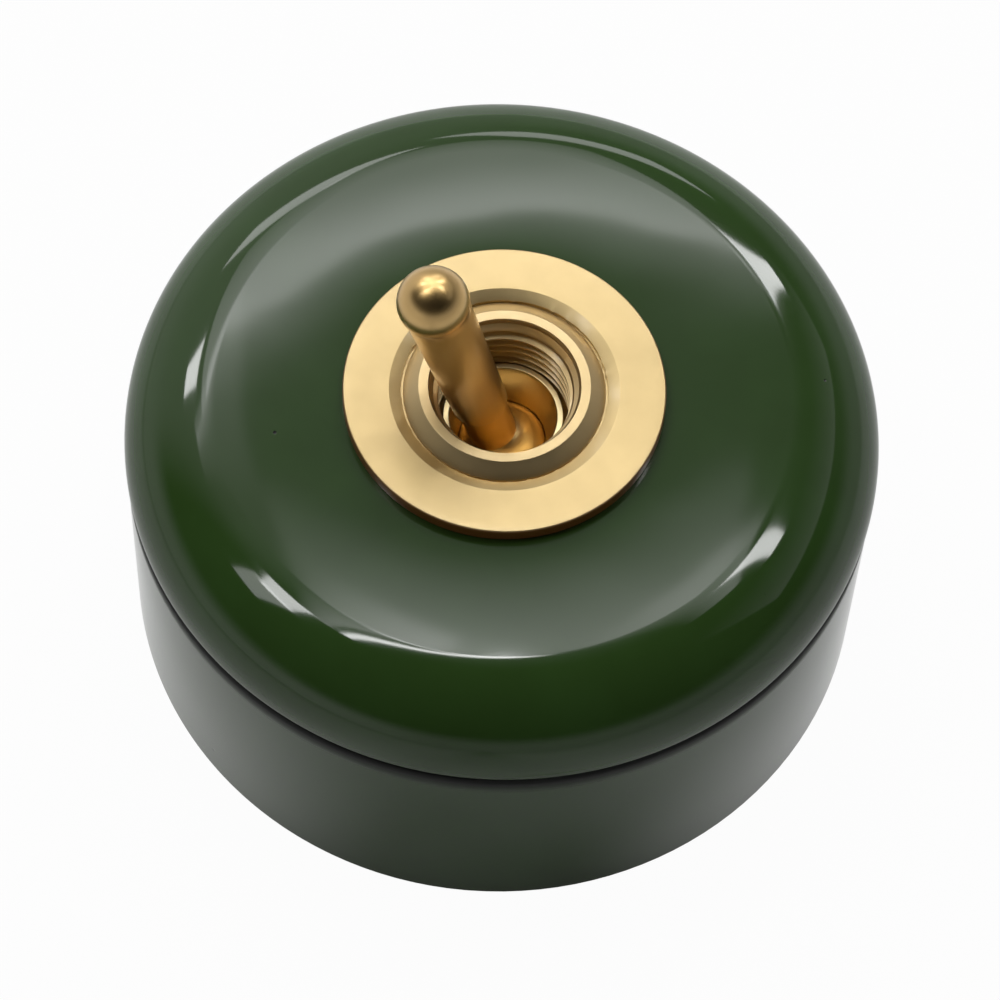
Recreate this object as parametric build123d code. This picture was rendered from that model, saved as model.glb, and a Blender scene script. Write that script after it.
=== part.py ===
"""Round surface-mounted toggle light switch: glazed ceramic casing around a snap-action switch.

Frame: the origin is the centre of the back face, +Z points out of the wall, and the lever
swings in the XZ plane. Sizes are in millimetres.
"""

import math
import os

from build123d import *

# Ceramic base
base_radius = 32.4
base_height = 24.3
base_foot_round = 0.6
base_rim_round = 0.6
base_rim_drop = 0.45
base_seat_radius = 31.2
base_bore_radius = 27.8
foot_ring_width = 3.6
foot_recess = 0.8
floor_top = 4.5
lip_radius = 29.2
lip_height = 1.2
inside_round = 2.0

# Pillars that carry the switch bracket, and the brass inserts in them
pillar_pitch = 43.0
pillar_radius = 5.2
pillar_top = 18.3
insert_radius = 2.6
insert_length = 8.0
insert_hole_depth = 9.0
insert_waist_radius = 2.25
insert_waist_length = 1.6

# Wall screw holes and cable entry in the floor of the base
wall_screw_pitch = 44.0
wall_screw_hole_radius = 2.2
wall_screw_head_radius = 4.2
wall_screw_boss_radius = 5.4
wall_screw_boss_top = 6.0
cable_entry_radius = 6.0
cable_entry_offset = 13.0
cable_entry_bevel = 0.5

# Ceramic cover
cover_radius = 32.5
cover_top = 31.8
cover_underside = 27.6
cover_crown_arc_radius = 8.8
cover_shoulder_arc_radius = 6.0
cover_shoulder_turn = 45.0
cover_edge_round = 0.6
cover_skirt_bore_radius = 29.5
cover_hole_radius = 7.5

# Brass trim plate with a dished counterbore for the ring nut
trim_radius = 13.72
trim_thickness = 1.3
trim_hole_radius = 7.4
trim_dish_radius = 9.8
trim_dish_depth = 0.37
trim_counterbore_radius = 8.8
trim_web = 0.6

# Ring nut: a flanged sleeve that screws on the bushing and clamps plate and cover
ring_flange_radius = 8.6
ring_flange_edge = 0.4
ring_top_radius = 7.2
ring_top_rise = 0.65
ring_mouth_radius = 6.4
ring_mouth_depth = 0.5
ring_sleeve_radius = 7.1
ring_sleeve_bottom = 25.3

# Threads are plain cylinders at their pitch radius
bush_thread_radius = 5.7
small_thread_radius = 1.4

# Switch bushing and lever pivot
pivot_height = 22.4
bushing_top = 28.3
bushing_rim_radius = 5.1
bushing_mouth_radius = 4.65
bushing_chamfer = 0.6
socket_radius = 4.16
socket_lip_radius = 3.75
bushing_neck_radius = 5.0
bushing_stake_radius = 5.6
bushing_stake_height = 0.4

# Toggle lever, measured along its own axis from the pivot
lever_lean = 14.2
lever_tip_centre = 25.3
lever_tip_radius = 3.05
lever_bat_radius = 2.8
lever_neck_radius = 2.42
lever_neck_height = 8.4
lever_foot_radius = 2.1
lever_foot_step = 0.3
pivot_ball_radius = 4.1
lever_arm_radius = 2.2
lever_arm_length = 7.0
lever_bore_radius = 1.5
lever_bore_end = 1.5
pin_radius = 0.8
pin_length = 10.4
pin_clearance = 0.06

# Plunger and its spring, in the lower arm of the lever
plunger_radius = 1.42
plunger_tip_radius = 1.4
plunger_reach = 9.4
plunger_length = 5.2
spring_wire_radius = 0.15
spring_coil_radius = 1.15
spring_turns = 4
spring_end_gap = 0.03

# Rocker: a folded contact strip that tips on the fulcrum of the centre terminal
rocker_lean = 8.0
rocker_arm_slope = 15.1
rocker_thickness = 0.8
rocker_width = 3.6
rocker_valley_height = 1.35
rocker_crest_reach = 2.8
rocker_pad_start = 5.4
rocker_reach = 8.0
rocker_lug_width = 2.6
rocker_lug_thickness = 0.6
rocker_notch_radius = 0.5
fulcrum_height = 11.4
fulcrum_radius = 0.45
fulcrum_neck_radius = 0.4
fulcrum_neck_drop = 0.2
fulcrum_foot_width = 2.6
cheek_gap = 0.25
cheek_thickness = 0.6
cheek_width = 3.6
cheek_rise = 1.6

# Contacts
contact_radius = 1.1
contact_reach = 6.8
fixed_contact_height = 0.5
moving_contact_height = 0.6
contact_gap = 0.04

# Switch case of moulded resin
case_length = 24.0
case_width = 15.2
case_bottom = 7.0
case_floor_top = 8.7
case_end_wall = 2.0
case_side_wall = 1.6
case_corner_round = 1.5

# Steel frame that clamps the case to the bushing
frame_thickness = 1.0
frame_top = 18.3
frame_length = 22.0
frame_leg_inner = 4.0
frame_leg_outer = 8.5
frame_skirt_bottom = 15.3
frame_tab_length = 1.8
frame_bend_round = 0.9

# Terminals and their screws
terminal_thickness = 0.8
side_terminal_width = 5.0
side_terminal_start = 4.9
side_terminal_screw = 14.7
centre_terminal_width = 4.4
centre_terminal_start = 4.6
centre_terminal_screw = 10.2
terminal_end_margin = 2.5
terminal_screw_head_radius = 2.4
terminal_screw_head_height = 1.6
terminal_screw_tail = 1.6
slot_width = 0.7
slot_depth = 0.8

# Bracket strap across the pillars, with its washer, nut and screws
bracket_thickness = 1.5
bracket_disc_radius = 9.5
bracket_arm_width = 10.0
bracket_bush_hole_radius = 6.0
bracket_screw_hole_radius = 1.7
washer_thickness = 0.6
washer_outer_radius = 8.2
washer_ring_radius = 6.9
washer_tooth_radius = 5.8
washer_teeth = 10
washer_tooth_width = 1.7
nut_across_flats = 14.0
nut_height = 2.2
nut_corner_bevel = 30.0
bracket_screw_head_radius = 2.8
bracket_screw_head_height = 1.9
bracket_screw_length = 8.0

bracket_top = pillar_top + bracket_thickness
washer_top = bracket_top + washer_thickness
nut_top = washer_top + nut_height
trim_top = cover_top + trim_thickness
case_top = frame_top - frame_thickness
terminal_top = case_floor_top + terminal_thickness


def turned(*edges):
    """Revolve a closed outline of edges, given as (radius, height), about the Z axis."""
    return revolve(Plane.XZ * make_face(edges), Axis.Z)


def turned_corners(corners):
    """Revolve an outline of (radius, height, corner rounding) triples about the Z axis."""
    points = [(radius, height) for radius, height, _ in corners]
    roundings = [rounding for *_, rounding in corners]
    return turned(FilletPolyline(points, radius=roundings, close=True))


def slab(sketch, low, high):
    """Extrude a plan sketch from one height to another."""
    return extrude(Pos(0, 0, low) * sketch, high - low)


def across(sketch, width):
    """Extrude a sketch of the XZ plane to a width centred on that plane."""
    return extrude(Plane.XZ * sketch, width / 2, both=True)


def rod(radius, low, high):
    """Upright cylinder on the Z axis between two heights."""
    return slab(Circle(radius), low, high)


def base_floor_bosses():
    """Countersunk bosses at the wall screws, each run into the ring wall and down to the wall."""
    boss = Circle(wall_screw_boss_radius)
    reach = base_bore_radius + 1 - wall_screw_pitch / 2
    boss += Pos(reach / 2, 0) * Rectangle(reach, 2 * wall_screw_boss_radius)
    boss = slab(boss, 0, wall_screw_boss_top)
    return [Rot(0, 0, turn) * Pos(wall_screw_pitch / 2, 0, 0) * boss for turn in (0, 180)]


def base_pillars():
    """Two pillars grown out of the ring wall to carry the bracket."""
    pillar = Circle(pillar_radius)
    reach = base_bore_radius + 1 - pillar_pitch / 2
    pillar += Pos(0, reach / 2) * Rectangle(2 * pillar_radius, reach)
    pillar = slab(pillar, floor_top - 1, pillar_top)
    return [Rot(0, 0, turn) * Pos(0, pillar_pitch / 2, 0) * pillar for turn in (0, 180)]


def wall_screw_cutter():
    """Through hole with a 90 degree countersink for a wood screw."""
    cone_depth = wall_screw_head_radius - wall_screw_hole_radius
    hole = rod(wall_screw_hole_radius, -1, wall_screw_boss_top + 1)
    cone = Cone(wall_screw_hole_radius, wall_screw_head_radius, cone_depth)
    return hole + Pos(0, 0, wall_screw_boss_top - cone_depth / 2) * cone


def cable_entry_cutter():
    """Round hole through the floor with both rims bevelled."""
    bevel = Cone(cable_entry_radius, cable_entry_radius + cable_entry_bevel, cable_entry_bevel)
    hole = rod(cable_entry_radius, -1, floor_top + 1)
    hole += Pos(0, 0, floor_top - cable_entry_bevel / 2) * bevel
    hole += Pos(0, 0, foot_recess + cable_entry_bevel / 2) * Rot(180, 0, 0) * bevel
    return Pos(cable_entry_offset, -cable_entry_offset, 0) * hole


def base():
    """Glazed base: foot ring, floor, ring wall with seat and locating lip, pillars and bosses."""
    lip_top = base_height + lip_height
    rim_top = base_height - base_rim_drop
    foot_inner = base_radius - foot_ring_width
    body = turned_corners(
        [
            (0, foot_recess, 0),
            (foot_inner, foot_recess, 0.4),
            (foot_inner, 0, 0.3),
            (base_radius, 0, base_foot_round),
            (base_radius, rim_top, base_rim_round),
            (base_seat_radius, rim_top, 0),
            (base_seat_radius, base_height, 0.2),
            (lip_radius, base_height, 0),
            (lip_radius, lip_top, 0.4),
            (base_bore_radius, lip_top, 0.4),
            (base_bore_radius, floor_top, inside_round),
            (0, floor_top, 0),
        ]
    )
    body = body + base_floor_bosses() + base_pillars()
    for side in (-1, 1):
        body -= Pos(side * wall_screw_pitch / 2, 0, 0) * wall_screw_cutter()
        insert_hole = rod(insert_radius, pillar_top - insert_hole_depth, pillar_top + 1)
        body -= Pos(0, side * pillar_pitch / 2, 0) * insert_hole
    return body - cable_entry_cutter()


def cover():
    """Glazed cover: flat crown, two-arc shoulder and a skirt that stands on the base's seat."""
    turn = math.radians(cover_shoulder_turn)
    shoulder_width = cover_crown_arc_radius * math.sin(turn)
    shoulder_width += cover_shoulder_arc_radius * (1 - math.cos(turn))
    crown_start = (cover_radius - shoulder_width, cover_top)
    crown = JernArc(crown_start, (1, 0), cover_crown_arc_radius, -cover_shoulder_turn)
    shoulder = JernArc(crown @ 1, crown % 1, cover_shoulder_arc_radius, cover_shoulder_turn - 90)
    inside = FilletPolyline(
        shoulder @ 1,
        (cover_radius, base_height),
        (cover_skirt_bore_radius, base_height),
        (cover_skirt_bore_radius, cover_underside),
        (cover_hole_radius, cover_underside),
        (cover_hole_radius, cover_top),
        crown_start,
        radius=[cover_edge_round, 0.3, inside_round, 0.5, 0.5],
    )
    return turned(crown, shoulder, inside)


def trim_plate():
    """Turned plate with a shallow dish and a counterbore around its hole."""
    counterbore_rim = trim_top - trim_dish_depth
    return turned_corners(
        [
            (trim_hole_radius, cover_top, 0),
            (trim_radius, cover_top, 0.1),
            (trim_radius, trim_top, 0.15),
            (trim_dish_radius, trim_top, 0),
            (trim_counterbore_radius, counterbore_rim, 0),
            (trim_counterbore_radius, cover_top + trim_web, 0),
            (trim_hole_radius, cover_top + trim_web, 0),
        ]
    )


def ring_nut():
    """Sleeve nut: bevelled flange in the plate's counterbore and a threaded sleeve below."""
    seat = cover_top + trim_web
    top = trim_top + ring_top_rise
    return turned_corners(
        [
            (bush_thread_radius, ring_sleeve_bottom, 0),
            (ring_sleeve_radius, ring_sleeve_bottom, 0.3),
            (ring_sleeve_radius, seat, 0),
            (ring_flange_radius, seat, 0),
            (ring_flange_radius, seat + ring_flange_edge, 0),
            (ring_top_radius, top, 0.1),
            (ring_mouth_radius, top, 0.1),
            (bush_thread_radius, top - ring_mouth_depth, 0),
        ]
    )


def bushing():
    """Threaded bushing: flared mouth, round socket for the pivot ball, staked lower end."""
    stake_bottom = case_top - bushing_stake_height
    lip_angle = math.degrees(math.acos(socket_lip_radius / socket_radius))
    socket = CenterArc((0, pivot_height), socket_radius, 0, lip_angle)
    rest = Polyline(
        socket @ 1,
        (bushing_mouth_radius, bushing_top),
        (bushing_rim_radius, bushing_top),
        (bush_thread_radius, bushing_top - bushing_chamfer),
        (bush_thread_radius, frame_top),
        (bushing_neck_radius, frame_top),
        (bushing_neck_radius, case_top),
        (bushing_stake_radius, case_top),
        (bushing_stake_radius, stake_bottom),
        (socket_radius, stake_bottom),
        socket @ 0,
    )
    return turned(socket, rest) - cross_pin(pin_radius, 4 * bush_thread_radius)


def cross_pin(radius, length):
    """Cylinder along Y through the lever's pivot."""
    return Pos(0, 0, pivot_height) * Rot(90, 0, 0) * Cylinder(radius, length)


def on_lever(piece):
    """Place a piece drawn along Z from the pivot on the leaning lever."""
    return Pos(0, 0, pivot_height) * Rot(0, -lever_lean, 0) * piece


def toggle_lever():
    """Turned lever: domed bat, neck, pivot ball and a bored lower arm."""
    tip_drop = math.degrees(math.acos(lever_bat_radius / lever_tip_radius))
    tip = CenterArc((0, lever_tip_centre), lever_tip_radius, 90, -90 - tip_drop)
    ball_start = math.degrees(math.acos(lever_foot_radius / pivot_ball_radius))
    ball_end = math.degrees(math.acos(lever_arm_radius / pivot_ball_radius))
    ball = CenterArc((0, 0), pivot_ball_radius, ball_start, -ball_start - ball_end)
    bat = FilletPolyline(
        tip @ 1,
        (lever_neck_radius, lever_neck_height),
        (lever_foot_radius, lever_neck_height - lever_foot_step),
        ball @ 0,
        radius=[0.2, 0.3],
    )
    arm = Polyline(
        ball @ 1,
        (lever_arm_radius, -lever_arm_length),
        (lever_bore_radius, -lever_arm_length),
        (lever_bore_radius, -lever_bore_end),
        (0, -lever_bore_end),
        tip @ 0,
    )
    lever = on_lever(turned(tip, bat, ball, arm))
    return lever - cross_pin(pin_radius + pin_clearance, 4 * bush_thread_radius)


def plunger():
    """Round-nosed plunger that slides in the lever's lower arm."""
    nose_centre = plunger_tip_radius - plunger_reach
    back = plunger_length - plunger_reach
    pin = rod(plunger_radius, nose_centre, back)
    pin = chamfer(pin.edges().group_by(Axis.Z)[-1], 0.2)
    nose = Pos(0, 0, nose_centre) * Sphere(plunger_tip_radius)
    return on_lever(pin + nose)


def plunger_spring():
    """Compression spring between the plunger's back and the end of the lever's bore."""
    low = plunger_length - plunger_reach + spring_end_gap + spring_wire_radius
    high = -lever_bore_end - spring_end_gap - spring_wire_radius
    height = high - low
    coil = Helix(height / spring_turns, height, spring_coil_radius)
    wire = sweep(Plane(coil @ 0, z_dir=coil % 0) * Circle(spring_wire_radius), coil, is_frenet=True)
    return on_lever(Pos(0, 0, low) * wire)


def on_rocker(piece):
    """Place a piece drawn level about the fulcrum on the tipped rocker."""
    return Pos(0, 0, fulcrum_height) * Rot(0, rocker_lean, 0) * piece


def closed_to_level(reach, height):
    """Turn a point of the closed contact pad back to the rocker's level position."""
    lean = math.radians(rocker_lean)
    across_x = reach * math.cos(lean) - height * math.sin(lean)
    return across_x, reach * math.sin(lean) + height * math.cos(lean)


def rocker_pad_underside():
    """Height of the closed contact pad's underside, from the fulcrum."""
    stack = fixed_contact_height + contact_gap + moving_contact_height
    return terminal_top + stack - fulcrum_height


def rocker():
    """Folded strip: a valley for the plunger, two sloping arms, contact pads and side lugs."""
    crest_rise = rocker_crest_reach * math.tan(math.radians(rocker_arm_slope))
    pad_top = rocker_pad_underside() + rocker_thickness
    top = [
        (0, rocker_valley_height),
        (rocker_crest_reach, rocker_valley_height + crest_rise),
        closed_to_level(rocker_pad_start, pad_top),
        closed_to_level(rocker_reach, pad_top),
    ]
    mirrored = [(-x, z) for x, z in reversed(top[1:])]
    fold = FilletPolyline(mirrored + top, radius=[0.9, 0.9, 2.6, 0.9, 0.9])
    strip = across(offset_strip(fold, rocker_thickness), rocker_width)
    lug_top = rocker_valley_height - rocker_thickness / 2
    lug = Pos(0, lug_top / 2) * Rectangle(rocker_lug_width, lug_top)
    lug -= Circle(rocker_notch_radius)
    lug = across(lug, rocker_lug_thickness)
    offset_y = (rocker_width - rocker_lug_thickness) / 2
    for side in (-1, 1):
        strip += Pos(0, side * offset_y, 0) * lug
    return on_rocker(strip)


def offset_strip(fold, thickness):
    """Give an open fold line its sheet thickness on the lower side."""
    lower = offset(fold, thickness, kind=Kind.INTERSECTION, side=Side.RIGHT, closed=True)
    return make_face(lower.edges())


def moving_contact(side):
    """Contact rivet head under one pad of the rocker."""
    low = rocker_pad_underside() - moving_contact_height
    button = rod(contact_radius, low, low + moving_contact_height)
    button = chamfer(button.edges().group_by(Axis.Z)[0], 0.15)
    button = Pos(contact_reach, 0, 0) * button
    level = Rot(0, -rocker_lean, 0) * button
    if side < 0:
        level = mirror(level, Plane.YZ)
    return on_rocker(level)


def fixed_contact(side):
    """Contact rivet head on the inner end of a side terminal."""
    button = rod(contact_radius, terminal_top, terminal_top + fixed_contact_height)
    button = chamfer(button.edges().group_by(Axis.Z)[-1], 0.15)
    return Pos(side * contact_reach, 0, 0) * button


def terminal_strip(start, screw, width):
    """Flat strip along +X with a round outer end and a tapped hole."""
    length = screw - start
    plan = Pos(start + length / 2, 0) * Rectangle(length, width)
    plan += Pos(screw, 0) * Circle(terminal_end_margin)
    plan -= Pos(screw, 0) * Circle(small_thread_radius)
    return slab(plan, case_floor_top, terminal_top)


def side_terminal(side):
    """Terminal that leaves through one end wall of the case."""
    strip = terminal_strip(side_terminal_start, side_terminal_screw, side_terminal_width)
    return Rot(0, 0, 0 if side > 0 else 180) * strip


def centre_terminal():
    """Common terminal with the fulcrum and two cheeks that keep the rocker in line."""
    strip = terminal_strip(-centre_terminal_start, centre_terminal_screw, centre_terminal_width)
    strip = Rot(0, 0, -90) * strip
    post = Polyline(
        (-fulcrum_foot_width / 2, terminal_top),
        (fulcrum_foot_width / 2, terminal_top),
        (fulcrum_neck_radius, fulcrum_height - fulcrum_neck_drop),
        (-fulcrum_neck_radius, fulcrum_height - fulcrum_neck_drop),
        close=True,
    )
    post = make_face(post) + Pos(0, fulcrum_height) * Circle(fulcrum_radius)
    cheek_top = fulcrum_height + cheek_rise
    cheek = Pos(0, (terminal_top + cheek_top) / 2) * Rectangle(cheek_width, cheek_top - terminal_top)
    cheek = across(cheek, cheek_thickness)
    offset_y = (rocker_width + cheek_thickness) / 2 + cheek_gap
    body = strip + across(post, rocker_width)
    for side in (-1, 1):
        body += Pos(0, side * offset_y, 0) * cheek
    return body


def slotted_screw(head_radius, head_height, shank_length):
    """Cheese-head screw standing on the plane z = 0, with its shank below."""
    head = rod(head_radius, 0, head_height)
    head = fillet(head.edges().group_by(Axis.Z)[-1], head_height / 4)
    slot = Box(4 * head_radius, slot_width, slot_depth)
    head -= Pos(0, 0, head_height - slot_depth / 2) * slot
    return head + rod(small_thread_radius, -shank_length, 0)


def terminal_screw():
    """Wire clamping screw of a terminal."""
    shank = terminal_thickness + terminal_screw_tail
    return slotted_screw(terminal_screw_head_radius, terminal_screw_head_height, shank)


def switch_case():
    """Moulded case, open at the top, with slots for the three terminals."""
    plan = RectangleRounded(case_length, case_width, case_corner_round)
    inner_length = case_length - 2 * case_end_wall
    inner_width = case_width - 2 * case_side_wall
    body = slab(plan, case_bottom, case_top)
    body -= slab(RectangleRounded(inner_length, inner_width, 0.8), case_floor_top, case_top + 1)
    side_slot = Rectangle(2 * case_length, side_terminal_width)
    centre_slot = Pos(0, -case_width / 2) * Rectangle(centre_terminal_width, case_width)
    return body - slab(side_slot + centre_slot, case_floor_top, terminal_top)


def switch_frame():
    """Folded steel frame: top plate, skirts and four legs clinched under the case."""
    outer = Pos(0, (case_bottom - frame_thickness + frame_top) / 2) * RectangleRounded(
        case_width + 2 * frame_thickness,
        frame_top - case_bottom + frame_thickness,
        frame_bend_round,
    )
    case_section = Pos(0, (case_bottom + case_top) / 2) * Rectangle(case_width, case_top - case_bottom)
    tab_gap = Pos(0, case_bottom) * Rectangle(case_width - 2 * frame_tab_length, 4 * frame_thickness)
    folded = extrude(Plane.YZ * (outer - case_section - tab_gap), frame_length / 2, both=True)
    below_skirt = frame_skirt_bottom - case_length / 2
    window = Box(2 * frame_leg_inner, 2 * case_width, case_length)
    folded -= Pos(0, 0, below_skirt) * window
    for side in (-1, 1):
        folded -= Pos(side * (frame_leg_outer + frame_leg_inner), 0, below_skirt) * window
    return folded - rod(bushing_neck_radius, case_top - 1, frame_top + 1)


def bracket():
    """Steel strap across the pillars, widened around the bushing."""
    plan = Circle(bracket_disc_radius)
    plan += SlotCenterToCenter(pillar_pitch, bracket_arm_width, rotation=90)
    plan = fillet(plan.vertices().filter_by(lambda v: abs(v.Y) < pillar_pitch / 4), 2.0)
    plan -= Circle(bracket_bush_hole_radius)
    for side in (-1, 1):
        plan -= Pos(0, side * pillar_pitch / 2) * Circle(bracket_screw_hole_radius)
    return slab(plan, pillar_top, bracket_top)


def lock_washer():
    """Ring with teeth that point inwards to the bushing."""
    ring = Circle(washer_outer_radius) - Circle(washer_ring_radius)
    tooth_length = washer_ring_radius - washer_tooth_radius + 0.5
    tooth = Pos(washer_tooth_radius + tooth_length / 2, 0) * Rectangle(tooth_length, washer_tooth_width)
    for index in range(washer_teeth):
        ring += Rot(0, 0, index * 360 / washer_teeth) * tooth
    return slab(ring, bracket_top, washer_top)


def hex_nut():
    """Thin hexagon nut on the bushing with its corners bevelled."""
    prism = slab(RegularPolygon(nut_across_flats / 2, 6, major_radius=False), washer_top, nut_top)
    corner_radius = nut_across_flats / 2 / math.cos(math.radians(30))
    drop = (corner_radius - nut_across_flats / 2) * math.tan(math.radians(nut_corner_bevel))
    envelope = turned_corners(
        [
            (0, washer_top, 0),
            (nut_across_flats / 2, washer_top, 0),
            (corner_radius, washer_top + drop, 0),
            (corner_radius, nut_top - drop, 0),
            (nut_across_flats / 2, nut_top, 0),
            (0, nut_top, 0),
        ]
    )
    return (prism & envelope) - rod(bush_thread_radius, washer_top - 1, nut_top + 1)


def pillar_insert():
    """Brass insert with a waist, in the top of a pillar."""
    bottom = pillar_top - insert_length
    waist_low = bottom + (insert_length - insert_waist_length) / 2
    waist_high = waist_low + insert_waist_length
    return turned_corners(
        [
            (small_thread_radius, bottom, 0),
            (insert_radius, bottom, 0.2),
            (insert_radius, waist_low, 0),
            (insert_waist_radius, waist_low, 0),
            (insert_waist_radius, waist_high, 0),
            (insert_radius, waist_high, 0),
            (insert_radius, pillar_top, 0),
            (small_thread_radius, pillar_top, 0),
        ]
    )


def bracket_screw():
    """Screw that holds the bracket on a pillar."""
    return slotted_screw(bracket_screw_head_radius, bracket_screw_head_height, bracket_screw_length)


def all_pieces():
    """Every piece of the switch in its place, by name."""
    pillar_y = pillar_pitch / 2
    return {
        "base": base(),
        "cover": cover(),
        "trim_plate": trim_plate(),
        "ring_nut": ring_nut(),
        "bracket": bracket(),
        "bracket_screw_upper": Pos(0, pillar_y, bracket_top) * Rot(0, 0, 35) * bracket_screw(),
        "bracket_screw_lower": Pos(0, -pillar_y, bracket_top) * Rot(0, 0, 110) * bracket_screw(),
        "insert_upper": Pos(0, pillar_y, 0) * pillar_insert(),
        "insert_lower": Pos(0, -pillar_y, 0) * pillar_insert(),
        "lock_washer": lock_washer(),
        "hex_nut": hex_nut(),
        "bushing": bushing(),
        "switch_frame": switch_frame(),
        "switch_case": switch_case(),
        "lever_pin": cross_pin(pin_radius, pin_length),
        "toggle_lever": toggle_lever(),
        "plunger": plunger(),
        "plunger_spring": plunger_spring(),
        "rocker": rocker(),
        "moving_contact_left": moving_contact(-1),
        "moving_contact_right": moving_contact(1),
        "fixed_contact_left": fixed_contact(-1),
        "fixed_contact_right": fixed_contact(1),
        "left_terminal": side_terminal(-1),
        "right_terminal": side_terminal(1),
        "centre_terminal": centre_terminal(),
        "terminal_screw_left": Pos(-side_terminal_screw, 0, terminal_top) * terminal_screw(),
        "terminal_screw_right": Pos(side_terminal_screw, 0, terminal_top) * terminal_screw(),
        "terminal_screw_centre": Pos(0, -centre_terminal_screw, terminal_top) * terminal_screw(),
    }


if __name__ == "__main__":
    os.makedirs("parts", exist_ok=True)
    for node, shape in all_pieces().items():
        export_step(shape, f"parts/{node}.step")
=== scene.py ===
"""Looks of a round surface-mounted toggle light switch in dark green glazed ceramic and brass.

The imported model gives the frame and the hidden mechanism. This script builds the glazed casing,
the brass trim, the threaded nut and bushing and the turned lever, dresses every piece and sets
the studio. Sizes are in millimetres and are turned to metres when a mesh is made.
"""

import logging
import math
import random
from dataclasses import dataclass, field
from enum import Enum
from typing import Any, Callable

import bmesh
import bpy
from mathutils import Matrix, Vector


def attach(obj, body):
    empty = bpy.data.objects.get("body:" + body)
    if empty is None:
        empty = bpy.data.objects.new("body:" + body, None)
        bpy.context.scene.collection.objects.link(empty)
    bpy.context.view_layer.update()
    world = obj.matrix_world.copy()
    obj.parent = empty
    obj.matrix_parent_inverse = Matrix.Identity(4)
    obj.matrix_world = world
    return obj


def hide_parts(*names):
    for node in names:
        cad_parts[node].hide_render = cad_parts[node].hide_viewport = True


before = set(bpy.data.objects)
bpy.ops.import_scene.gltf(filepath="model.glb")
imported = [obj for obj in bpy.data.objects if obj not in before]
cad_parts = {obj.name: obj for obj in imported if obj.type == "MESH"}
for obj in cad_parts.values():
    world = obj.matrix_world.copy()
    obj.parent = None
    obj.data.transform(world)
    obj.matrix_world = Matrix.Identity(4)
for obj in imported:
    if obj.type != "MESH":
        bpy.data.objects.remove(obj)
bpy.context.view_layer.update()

log = logging.getLogger("toggle_switch")

MM = 0.001
Point = tuple[float, float]
Corner = tuple[float, float, float]
SMOOTH = {"interpolation_type": "SMOOTHSTEP"}


def srgb(code: str) -> tuple[float, float, float, float]:
    """Turn an sRGB hex colour into linear values.

    Args:
        code: Six hex digits, with or without a leading hash.

    Returns:
        Linear red, green and blue, and an alpha of 1.
    """
    digits = code.lstrip("#")
    shares = [int(digits[i : i + 2], 16) / 255 for i in (0, 2, 4)]
    linear = [s / 12.92 if s <= 0.04045 else ((s + 0.055) / 1.055) ** 2.4 for s in shares]
    return linear[0], linear[1], linear[2], 1.0


def shaded(code: str, share: float) -> tuple[float, float, float, float]:
    """Turn an sRGB hex colour into linear values and darken it.

    Args:
        code: Six hex digits, with or without a leading hash.
        share: How much of its light the colour keeps.

    Returns:
        Linear red, green and blue, and an alpha of 1.
    """
    red, green, blue, alpha = srgb(code)
    return share * red, share * green, share * blue, alpha


def add_node(
    tree: bpy.types.NodeTree,
    kind: str,
    settings: dict[str | int, Any] | None = None,
    links: dict[str | int, bpy.types.NodeSocket] | None = None,
) -> bpy.types.Node:
    """Add one shader node with its settings and links.

    Args:
        tree: The node tree that gets the node.
        kind: Blender's name for the type of node, without its leading ShaderNode.
        settings: Properties or inputs and the values they get.
        links: Inputs and the sockets that feed them.

    Returns:
        The new node.
    """
    node = tree.nodes.new("ShaderNode" + kind)
    for name, value in (settings or {}).items():
        if isinstance(name, int) or name in node.inputs:
            node.inputs[name].default_value = value
        else:
            setattr(node, name, value)
    for name, socket in (links or {}).items():
        tree.links.new(socket, node.inputs[name])
    return node


def span(start: float, end: float, low: float = 0.0, high: float = 1.0) -> dict[str, float]:
    """Settings of a range that turns start to end into low to high.

    Args:
        start: Input that gives the low value.
        end: Input that gives the high value.
        low: Result at the start and before it.
        high: Result at the end and beyond it.

    Returns:
        The settings of a Map Range node.
    """
    return {"From Min": start, "From Max": end, "To Min": low, "To Max": high}


def arc(centre: Point, radius: float, start: float, end: float, step: float = 3.0) -> list[Point]:
    """Points along an arc in the radius and height plane.

    Args:
        centre: Centre of the arc.
        radius: Its radius.
        start: Start angle in degrees, from the outward direction.
        end: End angle in degrees.
        step: Largest angle between two points, in degrees.

    Returns:
        The points, both ends included.
    """
    count = max(2, math.ceil(abs(end - start) / step) + 1)
    turns = [math.radians(start + (end - start) * i / (count - 1)) for i in range(count)]
    return [(centre[0] + radius * math.cos(t), centre[1] + radius * math.sin(t)) for t in turns]


def rounded(corners: list[Corner], step: float = 9.0, straight: float = 89.0) -> list[Point]:
    """Round the inner corners of an open outline.

    Args:
        corners: Radius, height and rounding of each corner; the two ends stay sharp.
        step: Largest angle between two points of a rounding, in degrees.
        straight: Half angle of a corner, in degrees, from which it counts as straight.

    Returns:
        The outline's points.
    """
    points: list[Point] = [corners[0][:2]]
    for before, here, after in zip(corners, corners[1:], corners[2:]):
        rounding = here[2]
        corner = Vector(here[:2])
        back = (Vector(before[:2]) - corner).normalized()
        ahead = (Vector(after[:2]) - corner).normalized()
        half = back.angle(ahead) / 2
        if rounding <= 0 or half > math.radians(straight):
            points.append(here[:2])
            continue
        centre = corner + (back + ahead).normalized() * (rounding / math.sin(half))
        first = corner + back * (rounding / math.tan(half)) - centre
        sweep = first.angle_signed(corner + ahead * (rounding / math.tan(half)) - centre)
        count = max(2, math.ceil(math.degrees(abs(sweep)) / step) + 1)
        for i in range(count):
            spot = centre + Matrix.Rotation(-sweep * i / (count - 1), 2) @ first
            points.append((spot.x, spot.y))
    return points + [corners[-1][:2]]


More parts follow.
